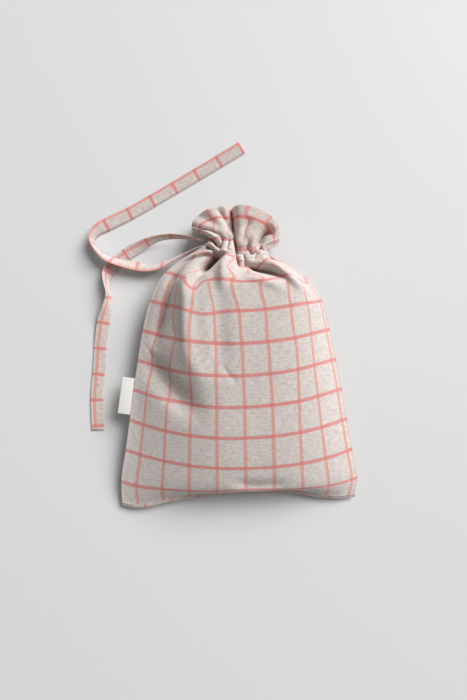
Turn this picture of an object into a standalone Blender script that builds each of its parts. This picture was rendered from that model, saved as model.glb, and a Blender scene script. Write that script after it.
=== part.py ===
"""A linen bread bag with a frilled mouth, gathered by a drawstring and lying on its back.

Sizes are in millimetres and turned to metres when a mesh is made. X runs across the bag,
Y from the bottom seam to the frill, and Z up from the surface that the bag lies on.
"""
import math
from collections import namedtuple

import bmesh
import bpy
import numpy as np

MM = 0.001

# ---- driving dimensions ------------------------------------------------------------------
CLOTH_THICK = 1.5        # one linen panel, measured through
SEAM_GAP = 0.3           # between the two panels where they are sewn together
SEAM_LIP = 3.0           # the pressed edge beside every seam
BACK_LIP = 5.0           # the back panel rolls out a little further under the bottom seam
HEM_LENGTH = 408.0       # cloth from the bottom seam to the frill's edge
STEEPEST = 0.3           # a wall's upright thickness grows with its slope up to this cosine
FLAT_SHARE = 0.55        # share of the back panel's width that lies flat
BOTTOM_RISE = 42.0       # cloth over which the back panel climbs to the bottom seam
EDGE_SHARE = 0.12        # share beside a side seam over which the folds die away
ARCH_POWER = 0.8         # below 1 the front panel's shoulders stand a little steeper
FADE_SHARE = 1 / 3       # share of a fold's course over which it rises and dies away
SLIT_SHARE = 0.55        # share of the way to the left seam where the slit begins to open
GATHER_START = 280.0     # cloth level where the gathers begin, below the casing
GATHER_RUN = 35.0        # cloth over which they reach their full closeness
TIE_WIDTH = 16.0
TIE_THICK = 2.0
TIE_STEP = 9.0           # distance between two sections of the drawstring
LABEL_WIDTH = 15.0
LABEL_LENGTH = 44.0
LABEL_THICK = 1.2
LABEL_CLOTH = 128.0      # how far up the left seam the label's middle is sewn in
LEAN_CLOTH = 20.0        # cloth to each side of it over which the seam's lean is taken

# ---- colours of the cloths, as display values --------------------------------------------
LINEN = "C8C1BA"
TIE_LINEN = "CBC3BB"
LABEL_WHITE = "EFEDEA"
CLOTH_ROUGHNESS = 0.9

# ---- the lying shape ---------------------------------------------------------------------
# One row for each level up the cloth: where the panel's middle is in plan and how high it
# stands, how far it reaches to each side, the fan angle of the level's line in plan, the two
# seams' places, how full the arch is, the back panel's height and the drawstring's slit.
Level = namedtuple(
    "Level", "cloth mid_x mid_y crown reach fan left_y left_z right_y right_z full back slit")
LEVELS = (
    #      cloth   mid_x   mid_y  crown  reach  fan  left_y left_z right_y right_z full back slit
    Level(0.0,      0.5, -119.0,   9.0, 143.5, 30, -134.0,   6.0, -128.0,    5.5,  3.0,  0,  0),
    Level(25.0,     1.5, -111.5,  32.0, 144.0, 30, -108.0,  13.0, -104.5,   11.0,  3.0,  0,  0),
    Level(61.6,     1.0,  -83.5,  53.0, 137.0, 30,  -69.0,  20.0,  -67.5,   17.0,  3.0,  0,  0),
    Level(98.2,     0.0,  -48.5,  64.0, 130.5, 30,  -32.5,  23.0,  -30.5,   20.0,  3.2,  0,  0),
    Level(134.8,   -0.7,  -13.5,  71.0, 124.7, 30,    4.0,  25.0,    5.5,   21.0,  3.4,  0,  0),
    Level(171.4,   -1.8,   22.5,  74.0, 118.4, 30,   39.5,  26.0,   41.0,   22.0,  3.6,  0,  0),
    Level(208.0,   -2.6,   59.0,  75.0, 111.7, 30,   75.0,  27.0,   76.5,   23.0,  3.6,  0,  0),
    Level(244.6,   -2.5,   95.5,  74.0, 102.8, 30,  110.5,  28.0,  111.0,   24.0,  3.4,  1,  0),
    Level(281.2,   -2.8,  131.0,  68.0,  84.0, 30,  144.5,  29.0,  137.5,   26.0,  3.0,  3,  0),
    Level(300.0,   -3.5,  149.0,  59.0,  60.0, 30,  159.5,  29.0,  152.5,   26.5,  2.6,  5,  1),
    Level(317.8,   -2.0,  161.5,  49.0,  38.5, 30,  171.0,  28.5,  163.5,   27.0,  2.4,  7,  5),
    Level(336.0,   -1.5,  172.0,  45.0,  31.5, 32,  178.0,  28.0,  168.0,   27.0,  2.2,  8, 7.5),
    Level(354.4,   -0.5,  184.0,  44.0,  33.0, 50,  184.5,  27.0,  173.5,   27.0,  2.2,  8,  6),
    Level(372.0,   -1.0,  196.0,  46.0,  39.0, 74,  188.5,  22.0,  177.5,   22.0,  2.2,  7,  1),
    Level(391.0,   -1.5,  209.5,  47.0,  46.5, 90,  191.0,  17.0,  181.0,   17.0,  2.2,  5,  0),
    Level(408.0,   -2.5,  222.0,  47.0,  53.5, 96,  193.5,  12.0,  185.5,   12.0,  2.2,  4,  0),
)

# One row for each fold of the front panel. It runs from its top to its end through a middle
# point, each given as the share of the way across and the cloth level, and it is a trough
# where its depth is below zero and a ridge where it is above.
Fold = namedtuple("Fold", "name depth width top_s top_v mid_s mid_v end_s end_v")
FOLDS = (
    Fold("frill cleft",      -22.0,  4.5, -0.08, 430.0, -0.04, 390.0,  0.02, 350.0),
    Fold("neck valley",      -12.0,  4.0,  0.03, 362.0,  0.04, 330.0,  0.16, 296.0),
    Fold("left pleat",        -7.0,  4.0, -0.66, 385.0, -0.62, 340.0, -0.66, 306.0),
    Fold("inner pleat",       -6.0,  3.5, -0.30, 380.0, -0.28, 342.0, -0.28, 318.0),
    Fold("right pleat",       -8.0,  4.5,  0.40, 388.0,  0.38, 345.0,  0.38, 312.0),
    Fold("outer pleat",       -7.0,  4.5,  0.78, 385.0,  0.74, 345.0,  0.78, 312.0),
    Fold("left frill dip",   -10.0,  6.5, -0.58, 430.0, -0.56, 400.0, -0.52, 378.0),
    Fold("right frill dip",  -10.0,  6.5,  0.52, 430.0,  0.56, 400.0,  0.60, 378.0),
    Fold("left crease",      -18.0,  9.0, -0.88, 310.0, -0.79, 248.0, -0.85, 176.0),
    Fold("left ridge",        10.0, 10.0, -0.68, 302.0, -0.53, 245.0, -0.40, 160.0),
    Fold("slanting trough",  -11.0, 16.0, -0.92, 182.0, -0.66, 154.0, -0.26, 122.0),
    Fold("middle trough",    -10.0, 11.0, -0.22, 290.0, -0.19, 230.0, -0.14, 160.0),
    Fold("left hollow",      -20.0,  6.5, -0.42, 322.0, -0.43, 294.0, -0.55, 250.0),
    Fold("right hollow",     -12.0,  5.0,  0.18, 324.0,  0.20, 312.0,  0.22, 296.0),
    Fold("right trough",     -12.0,  7.0,  0.38, 318.0,  0.47, 290.0,  0.70, 258.0),
    Fold("right shoulder",     5.0,  8.0,  0.66, 320.0,  0.80, 292.0,  0.84, 240.0),
    Fold("centre cone",        5.0, 10.0, -0.16, 316.0, -0.12, 298.0, -0.10, 272.0),
)

# One row for each turning point of the drawstring, from the tail that crosses the surface
# away from the bag, past the slit and back out to the tail that lies beside the bag. Tilt
# is 0 where the strip lies flat and 90 where it stands on its edge.
Turn = namedtuple("Turn", "x y lift tilt width")
TURNS = (
    Turn(4.7, 303.0, 0.0, 0, 1.0),
    Turn(-50.0, 270.0, 0.0, 0, 1.0),
    Turn(-106.0, 237.0, 0.0, 0, 1.0),
    Turn(-137.0, 219.5, 0.0, 3, 1.0),
    Turn(-160.5, 207.5, 0.3, 20, 1.0),
    Turn(-174.5, 198.5, 0.5, 52, 1.0),
    Turn(-179.8, 186.0, 0.8, 80, 1.0),
    Turn(-173.0, 174.5, 2.0, 80, 1.0),
    Turn(-158.0, 163.0, 4.0, 62, 1.0),
    Turn(-142.0, 158.5, 4.0, 50, 1.0),
    Turn(-124.0, 154.8, 2.5, 42, 1.0),
    Turn(-106.0, 153.3, 4.0, 45, 0.95),
    Turn(-88.5, 157.4, 8.0, 55, 0.85),
    Turn(-74.0, 163.5, 14.0, 68, 0.68),
    Turn(-58.5, 170.5, 20.0, 80, 0.52),
    Turn(-41.0, 175.5, 26.5, 90, 0.42),
    Turn(-33.0, 175.6, 27.2, 90, 0.38),
    Turn(-28.5, 179.0, 27.4, 90, 0.38),
    Turn(-33.0, 182.3, 27.4, 90, 0.38),
    Turn(-41.0, 182.5, 26.7, 85, 0.42),
    Turn(-57.0, 186.5, 20.0, 68, 0.5),
    Turn(-76.0, 189.5, 15.5, 55, 0.55),
    Turn(-97.0, 188.5, 10.0, 40, 0.6),
    Turn(-113.0, 183.5, 5.0, 24, 0.75),
    Turn(-128.0, 176.5, 1.2, 8, 0.9),
    Turn(-141.0, 168.5, 0.0, 0, 1.0),
    Turn(-152.5, 159.0, 0.0, 4, 1.0),
    Turn(-160.5, 146.5, 0.2, 44, 1.0),
    Turn(-161.5, 134.0, 0.3, 74, 1.0),
    Turn(-159.0, 121.0, 0.4, 80, 1.0),
    Turn(-160.5, 107.0, 0.3, 58, 1.0),
    Turn(-165.5, 89.0, 0.0, 20, 1.0),
    Turn(-169.5, 64.5, 0.0, 4, 1.0),
    Turn(-172.0, 30.0, 0.0, 0, 1.0),
    Turn(-174.8, -5.0, 0.0, 0, 1.0),
    Turn(-173.5, -47.0, 0.0, 0, 1.0),
)

# ---- how finely the solids are drawn -----------------------------------------------------
FRONT_COLUMNS = 38
BACK_COLUMNS = 18
SAMPLES = 161            # points that a level's line is measured along
PATH_STEPS = np.linspace(0.0, 1.0, 31)
ROWS = (tuple(np.linspace(0.0, 25.0, 4)) + tuple(np.linspace(35.0, 265.0, 19))
        + tuple(np.linspace(275.0, HEM_LENGTH, 15)))


# ---- curves through the tables -----------------------------------------------------------
def through(rows, places, at):
    """Reads a smooth curve through the rows, which stand at the given places."""
    rows = np.asarray(rows, float)
    places = np.asarray(places, float)
    slopes = np.gradient(rows, places, axis=0)
    at = np.clip(at, places[0], places[-1])
    left = np.clip(np.searchsorted(places, at, side="right") - 1, 0, len(places) - 2)
    span = places[left + 1] - places[left]
    u = (at - places[left]) / span
    return (rows[left] * (1 - ease(u)) + rows[left + 1] * ease(u)
            + slopes[left] * span * u * (1 - u) ** 2 - slopes[left + 1] * span * u * u * (1 - u))


def ease(u):
    """Goes softly from 0 to 1 as u does."""
    u = np.clip(u, 0.0, 1.0)
    return u * u * (3 - 2 * u)


def level_at(cloth):
    """The level's row at any distance up the cloth."""
    return Level(*through(LEVELS, [row.cloth for row in LEVELS], cloth))


# ---- one level's line, in plan and in height ---------------------------------------------
def plan_line(level, across):
    """Plan places of a level's line for shares from -1 at the left seam to 1 at the right."""
    turn = math.radians(level.fan)
    widest = math.sin(min(turn, math.pi / 2))
    x = level.mid_x + (level.reach - SEAM_LIP) * np.sin(across * turn) / widest
    seam_y = np.where(across < 0, level.left_y, level.right_y)
    y = level.mid_y + (seam_y - level.mid_y) * (1 - np.cos(across * turn)) / (1 - math.cos(turn))
    return x, y


def seam_height(level, across):
    """Height of the seams: the side seams' own, and the bottom seam's low arch between."""
    side = np.where(across < 0, level.left_z, level.right_z)
    first = LEVELS[0]
    first_side = np.where(across < 0, first.left_z, first.right_z)
    return side + (first.crown - first_side) * (1 - np.abs(across) ** first.full)


def slit_height(level, across):
    """Half of the slit that the drawstring leaves through, at the left seam."""
    return max(level.slit, 0.0) * ease((-across - SLIT_SHARE) / (1 - SLIT_SHARE))


def fold_path(fold):
    """A fold's course as shares across, cloth levels and its strength, which fades at both ends."""
    ends = [(fold.top_s, fold.top_v), (fold.mid_s, fold.mid_v), (fold.end_s, fold.end_v)]
    share, cloth = np.array([through(ends, [0.0, 0.5, 1.0], u) for u in PATH_STEPS]).T
    return share, cloth, ease(PATH_STEPS / FADE_SHARE) * ease((1 - PATH_STEPS) / FADE_SHARE)


def fold_height(level, across):
    """Height that the folds add to the front panel along one level's line."""
    total = np.zeros_like(across)
    for fold in FOLDS:
        share, cloth, strength = fold_path(fold)
        sideways = (across[:, None] - share) * level.reach
        away = np.hypot(sideways, level.cloth - cloth) / fold.width
        nearest = away.argmin(axis=1)
        depth = fold.depth * strength[nearest]
        total += depth * np.exp(-away.min(axis=1) ** 2)
    return total * ease((1 - np.abs(across)) / EDGE_SHARE)


def front_line(cloth):
    """The inner face of the front panel along one level, as points across the bag."""
    level = level_at(cloth)
    across = np.linspace(-1.0, 1.0, SAMPLES)
    x, y = plan_line(level, across)
    side = np.where(across < 0, level.left_z, level.right_z)
    arch = (1 - np.abs(across) ** level.full) ** ARCH_POWER
    z = side + (level.crown - side) * arch + fold_height(level, across)
    z += SEAM_GAP / 2 + slit_height(level, across)
    return np.column_stack([x, y, z])


def back_line(cloth):
    """The inner face of the back panel along one level, level where it rests on the surface."""
    level = level_at(cloth)
    across = np.linspace(-1.0, 1.0, SAMPLES)
    x, y = plan_line(level, across)
    seam = seam_height(level, across) - SEAM_GAP / 2
    beside = ease((np.abs(across) - FLAT_SHARE) / (1 - FLAT_SHARE))
    near_seam = 1 - (1 - beside) * ease(cloth / BOTTOM_RISE)
    floor = CLOTH_THICK + max(level.back, 0.0)
    z = floor + (seam - floor) * near_seam - slit_height(level, across)
    return np.column_stack([x, y, z])


def even_points(line, count, cloth):
    """Spaces points evenly along a line, as cloth is over a fold, or in plan where it gathers."""
    upright = 1 - ease((cloth - GATHER_START) / GATHER_RUN)
    steps = np.linalg.norm(np.diff(line * (1, 1, upright), axis=0), axis=1)
    along = np.concatenate([[0.0], np.cumsum(steps)])
    wanted = np.linspace(0.0, along[-1], count)
    return np.column_stack([np.interp(wanted, along, line[:, axis]) for axis in range(3)])


def with_lips(points, cloth):
    """Adds the pressed edge beside each side seam."""
    turn = math.radians(min(level_at(cloth).fan, 90) - LEVELS[0].fan)
    out = SEAM_LIP * math.cos(turn)
    drop = -SEAM_LIP * math.sin(turn)
    return np.vstack([points[0] + (-out, drop, 0), points, points[-1] + (out, drop, 0)])


def panel_points(line_of, columns, lip):
    """All of a panel's points, row by row from the bottom lip to the frill's edge."""
    rows = [with_lips(even_points(line_of(cloth), columns - 1, cloth), cloth) for cloth in ROWS]
    lowest = rows[0] - (0, lip, 0)
    return np.array([lowest] + rows)


# ---- making the solids -------------------------------------------------------------------
def linear(hex_colour):
    """A display colour as the linear values that a material takes."""
    parts = [int(hex_colour[i:i + 2], 16) / 255 for i in (0, 2, 4)]
    return [p / 12.92 if p <= 0.04045 else ((p + 0.055) / 1.055) ** 2.4 for p in parts] + [1.0]


def cloth_material(name, hex_colour):
    """A matt woven cloth."""
    material = bpy.data.materials.new(name)
    material.use_nodes = True
    shader = material.node_tree.nodes["Principled BSDF"]
    shader.inputs["Base Color"].default_value = linear(hex_colour)
    shader.inputs["Roughness"].default_value = CLOTH_ROUGHNESS
    return material


def keep(name, data, material):
    """Puts finished data into the bag's collection as one named piece."""
    data.materials.append(material)
    piece = bpy.data.objects.new(name, data)
    bag.objects.link(piece)
    return piece


def panel(name, points, outward, material):
    """A grid moved to the panel's inner face and thickened outwards, straight up or down."""
    rows, columns, _ = points.shape
    bm = bmesh.new()
    bmesh.ops.create_grid(bm, x_segments=columns - 1, y_segments=rows - 1, size=1.0)
    bm.verts.ensure_lookup_table()
    for vert, place in zip(bm.verts, points.reshape(-1, 3)):
        vert.co = place * MM
    bmesh.ops.triangulate(bm, faces=bm.faces[:])
    bm.normal_update()
    thick = {tuple(vert.co): CLOTH_THICK * MM / max(abs(vert.normal.z), STEEPEST)
             for vert in bm.verts}
    made = bmesh.ops.extrude_face_region(bm, geom=bm.faces[:])
    for vert in made["geom"]:
        if isinstance(vert, bmesh.types.BMVert):
            vert.co.z = max(vert.co.z + outward * thick[tuple(vert.co)], 0.0)
    bmesh.ops.recalc_face_normals(bm, faces=bm.faces[:])
    mesh = bpy.data.meshes.new(name)
    bm.to_mesh(mesh)
    bm.free()
    return keep(name, mesh, material)


def strip_height(turn):
    """Height of the strip's middle when its lower edge stands on the surface."""
    tilt = math.radians(turn.tilt)
    half = TIE_WIDTH / 2 * turn.width * math.sin(tilt)
    return half + TIE_THICK / 2 * max(math.cos(tilt), turn.width) + turn.lift


def drawstring(material):
    """The folded strip, bevelled along a smooth curve through its turning points."""
    route = np.array([(turn.x, turn.y, strip_height(turn), turn.tilt, turn.width)
                      for turn in TURNS])
    steps = np.linalg.norm(np.diff(route[:, :3], axis=0), axis=1)
    along = np.concatenate([[0.0], np.cumsum(steps)])
    count = int(along[-1] / TIE_STEP)
    curve = bpy.data.curves.new("drawstring", "CURVE")
    curve.dimensions = "3D"
    curve.twist_mode = "Z_UP"
    curve.extrude = (TIE_WIDTH - TIE_THICK) / 2 * MM
    curve.bevel_depth = TIE_THICK / 2 * MM
    curve.bevel_resolution = 0
    curve.use_fill_caps = True
    spline = curve.splines.new("POLY")
    spline.points.add(count)
    for point, place in zip(spline.points, np.linspace(0.0, along[-1], count + 1)):
        x, y, z, tilt, width = through(route, along, place)
        point.co = (x * MM, y * MM, z * MM, 1.0)
        point.tilt = math.radians(90 - tilt)
        point.radius = width
    return keep("drawstring", curve, material)


def label(material):
    """A blank folded tab whose inner edge lies against the left seam."""
    row = level_at(LABEL_CLOTH)
    above = level_at(LABEL_CLOTH + LEAN_CLOTH)
    below = level_at(LABEL_CLOTH - LEAN_CLOTH)
    lean = math.atan2((above.mid_x - above.reach) - (below.mid_x - below.reach),
                      above.left_y - below.left_y)
    bm = bmesh.new()
    bmesh.ops.create_cube(bm, size=1.0)
    bmesh.ops.scale(bm, vec=(LABEL_WIDTH * MM, LABEL_LENGTH * MM, LABEL_THICK * MM),
                    verts=bm.verts[:])
    mesh = bpy.data.meshes.new("label")
    bm.to_mesh(mesh)
    bm.free()
    piece = keep("label", mesh, material)
    out = row.reach + SEAM_GAP + LABEL_WIDTH / 2
    piece.location = ((row.mid_x - out) * MM, row.left_y * MM, row.left_z * MM)
    piece.rotation_euler = (0, 0, -lean)
    return piece


def centre(pieces):
    """Moves the bag so that the middle of its footprint is at the origin."""
    bpy.context.view_layer.update()
    corners = []
    for piece in pieces:
        made = piece.evaluated_get(bpy.context.evaluated_depsgraph_get())
        mesh = made.to_mesh()
        corners += [made.matrix_world @ vert.co for vert in mesh.vertices]
        made.to_mesh_clear()
    low = [min(corner[axis] for corner in corners) for axis in range(3)]
    high = [max(corner[axis] for corner in corners) for axis in range(3)]
    frame = bpy.data.objects.new("bag_frame", None)
    bag.objects.link(frame)
    frame.location = (-(low[0] + high[0]) / 2, -(low[1] + high[1]) / 2, -low[2])
    for piece in pieces:
        piece.parent = frame
    print("size mm", [round((high[a] - low[a]) / MM, 1) for a in range(3)],
          "moved mm", [round(value / MM, 2) for value in frame.location])


# ---- the bag -----------------------------------------------------------------------------
for old in list(bpy.data.objects):
    bpy.data.objects.remove(old)
bag = bpy.data.collections.new("linen_bread_bag")
bpy.context.scene.collection.children.link(bag)

linen = cloth_material("linen", LINEN)
tie_linen = cloth_material("tie_linen", TIE_LINEN)
label_cloth = cloth_material("label_cloth", LABEL_WHITE)

pieces = [
    panel("front_panel", panel_points(front_line, FRONT_COLUMNS, SEAM_LIP), 1, linen),
    panel("back_panel", panel_points(back_line, BACK_COLUMNS, BACK_LIP), -1, linen),
    drawstring(tie_linen),
    label(label_cloth),
]
centre(pieces)
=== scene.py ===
# %% [markdown]
# # A linen bread bag, lying on its back
#
# A bread bag is about the simplest thing that can be sewn: two cuts of linen, a seam round
# three sides, and a casing below the mouth that a folded strip runs through. Everything that
# makes it look real is in how the cloth lies. A woven thread hardly stretches, so wherever the
# bag is drawn in, the cloth that is left over has to stand up as gathers, and the woven check
# shows exactly how much of it is hidden in each fold.
#
# So this lesson builds the cloth in its own flat sizes first, and then carries every point of
# it to its place on the lying bag. The check, the weave and the stitching are drawn on the
# flat cloth and simply ride along.

import math
from collections import namedtuple

import bmesh
import bpy
import numpy as np
from mathutils import Matrix, Vector


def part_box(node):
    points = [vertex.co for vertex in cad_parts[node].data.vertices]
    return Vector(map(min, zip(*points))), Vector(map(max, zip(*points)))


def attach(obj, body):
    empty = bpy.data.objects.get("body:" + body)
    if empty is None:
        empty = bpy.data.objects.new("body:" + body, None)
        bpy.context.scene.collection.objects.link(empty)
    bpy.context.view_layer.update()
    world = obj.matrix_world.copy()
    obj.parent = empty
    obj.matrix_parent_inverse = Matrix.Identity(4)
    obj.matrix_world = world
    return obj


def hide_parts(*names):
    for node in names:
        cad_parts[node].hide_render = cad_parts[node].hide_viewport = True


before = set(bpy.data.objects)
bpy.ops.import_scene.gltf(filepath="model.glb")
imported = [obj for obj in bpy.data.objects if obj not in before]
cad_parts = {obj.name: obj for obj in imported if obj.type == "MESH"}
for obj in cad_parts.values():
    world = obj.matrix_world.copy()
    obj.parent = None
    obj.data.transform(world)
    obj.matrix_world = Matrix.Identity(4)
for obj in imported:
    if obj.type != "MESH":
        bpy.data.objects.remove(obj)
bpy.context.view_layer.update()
MM = 0.001
print("solid parts:", sorted(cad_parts))

# %% [markdown]
# ## Sizes
#
# A bag of this cut is sold at about 30 by 40 cm. The check repeats every 34 mm across and every
# 36.6 mm up the cloth, which is a usual thing: the weaver sets the two counts apart, and the
# finishing wash draws the cloth in more one way than the other. The folded strip is 16 mm wide.
# All sizes are in millimetres, and are turned to metres only where a mesh is made.

# %% Sizes
CLOTH_WIDTH = 300.0
CLOTH_LENGTH = 408.0
CLOTH_THICK = 0.7
SEAM_GAP = 0.3            # room between the two panels along their seam
SEAM_LIP = 1.6            # cloth outside the stitches
BACK_LIP = 4.5            # the back panel's bottom edge shows a little further out
TIE_WIDTH = 16.0
TIE_THICK = 1.6
LABEL_WIDTH = 15.0
LABEL_LENGTH = 44.0
LABEL_THICK = 0.9
LABEL_CLOTH = 128.0       # how far up the left seam the label's middle is sewn in
print("each panel is cut to", CLOTH_WIDTH, "by", CLOTH_LENGTH, "mm")

# %% [markdown]
# ## The lying shape, level by level
#
# The bag lies puffed over what is in it. A cloth simulation could blow up two flat panels, but
# it would choose its own folds and its own outline, so the shape is given in a table instead.
# Think of the bag as a stack of level lines across the cloth, from the bottom seam to the frill.
# Near the bottom the line is a low wide arch, at the casing it is bunched to less than a quarter
# of its length, and in the frill it opens again like a fan.
#
# Each line gets one row. `cloth` is how far up the cloth it lies, `mid_x` and `mid_y` where its
# middle is in plan, `crown` how high it stands there and `reach` how far it goes to each side.
# `fan` is the half angle that it opens to in plan. The next four say where the side seams are.
# `full` is how flat the arch is on top, `back` how far the back panel stands off the table,
# `slit` half the gap in the left seam, and `drop` how far the gathers pull its right half down.

# %% The lying shape, level by level
Level = namedtuple("Level", "cloth mid_x mid_y crown reach fan left_y left_z right_y right_z "
                            "full back slit drop")
LEVELS = (
    #     cloth mid_x   mid_y crown  reach  fan  left_y .. z  right_y .. z full, back, slit, drop
    Level(  0.0,  0.5, -119.0, 16.0, 143.5,  30, -134.0,  6.0, -127.0,  5.5, 2.4, 0, 0,  0),
    Level( 25.0,  1.5, -114.5, 40.0, 144.0,  30, -108.0, 13.0, -104.5, 12.0, 2.2, 0, 0,  0),
    Level( 61.6,  1.0,  -84.5, 57.0, 137.0,  30,  -69.0, 20.0,  -67.5, 20.0, 2.1, 0, 0,  0),
    Level( 98.2,  0.0,  -49.0, 67.0, 130.5,  30,  -32.5, 23.0,  -30.5, 24.0, 2.1, 0, 0,  0),
    Level(134.8, -0.7,  -13.8, 73.0, 124.7,  30,    4.0, 25.0,    5.5, 26.5, 2.2, 0, 0,  0),
    Level(171.4, -1.8,   22.0, 76.5, 118.4,  30,   39.5, 26.0,   41.0, 28.0, 2.3, 0, 0,  0),
    Level(208.0, -2.6,   58.5, 78.0, 111.7,  30,   75.0, 27.0,   76.5, 29.0, 2.4, 0, 0,  0),
    Level(244.6, -2.5,   95.5, 76.5, 102.8,  30,  110.5, 28.0,  111.0, 29.5, 2.8, 1, 0,  0),
    Level(281.2, -2.8,  131.0, 70.0,  84.0,  30,  144.5, 29.0,  137.5, 29.0, 4.0, 3, 0,  2),
    Level(300.0, -2.5,  148.0, 61.5,  68.5,  30,  157.5, 29.0,  149.5, 28.0, 3.8, 5, 0,  8),
    Level(317.8, -1.0,  160.0, 51.0,  53.5,  30,  168.0, 28.5,  157.5, 27.0, 3.0, 7, 2, 12),
    Level(336.0, -1.0,  171.0, 44.0,  41.5,  32,  175.0, 28.0,  165.0, 27.0, 2.4, 8, 6, 11),
    Level(354.4, -0.5,  182.0, 43.0,  34.5,  50,  183.0, 30.0,  172.0, 27.0, 2.6, 8, 6, 11),
    Level(372.0, -1.0,  195.5, 46.0,  39.0,  80,  188.5, 34.0,  175.5, 25.0, 3.0, 7, 1,  5),
    Level(391.0, -1.5,  209.5, 48.0,  46.5, 100,  190.5, 34.0,  178.0, 21.0, 3.0, 5, 0,  1),
    Level(408.0, -2.5,  222.0, 47.0,  54.0, 106,  191.5, 28.0,  180.5, 15.0, 3.0, 4, 0,  0),
)
print(len(LEVELS), "level lines, the highest", max(level.crown for level in LEVELS), "mm")

# %% [markdown]
# ## The bottom seam
#
# The bottom seam isn't quite the arc that the first level draws. Its stitched corners pull out
# and it swings in beside them. A few places along it say how far, from -1 at the left seam to 1
# at the right.

# %% The bottom seam
Bulge = namedtuple("Bulge", "share up")
BOTTOM_BULGES = (
    Bulge(-1.0, -1.0), Bulge(-0.9, -6.0), Bulge(-0.79, -7.5), Bulge(-0.6, -4.7), Bulge(-0.42, -2.7),
    Bulge(-0.15, 0.0), Bulge(0.0, 2.5), Bulge(0.2, 3.5), Bulge(0.36, 3.7), Bulge(0.5, 2.5),
    Bulge(0.71, -0.5), Bulge(0.86, -0.5), Bulge(1.0, 2.5),
)
print("the bottom seam swings out by up to", max(abs(row.up) for row in BOTTOM_BULGES), "mm")

# %% [markdown]
# ## The folds
#
# Cloth folds have a course, a depth and a width, and they die away at both ends. The long ones
# run down from the gathers like the pleats of a skirt: the left crease, the bright ridge beside
# it and the trough in the middle. Short deep ones sit right under the casing, where five
# fingers' worth of cloth is pushed into one. They could be sculpted with a brush, but a table is
# easier to put right: one number makes a fold deeper.
#
# Each row gives a fold's `depth`, which is a ridge's height where it is above 0, its `width`,
# how strongly it pinches the cloth together and how far it leans over. Then come three places
# on its course, each by its share of the way from the middle to a seam and its level.

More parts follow.
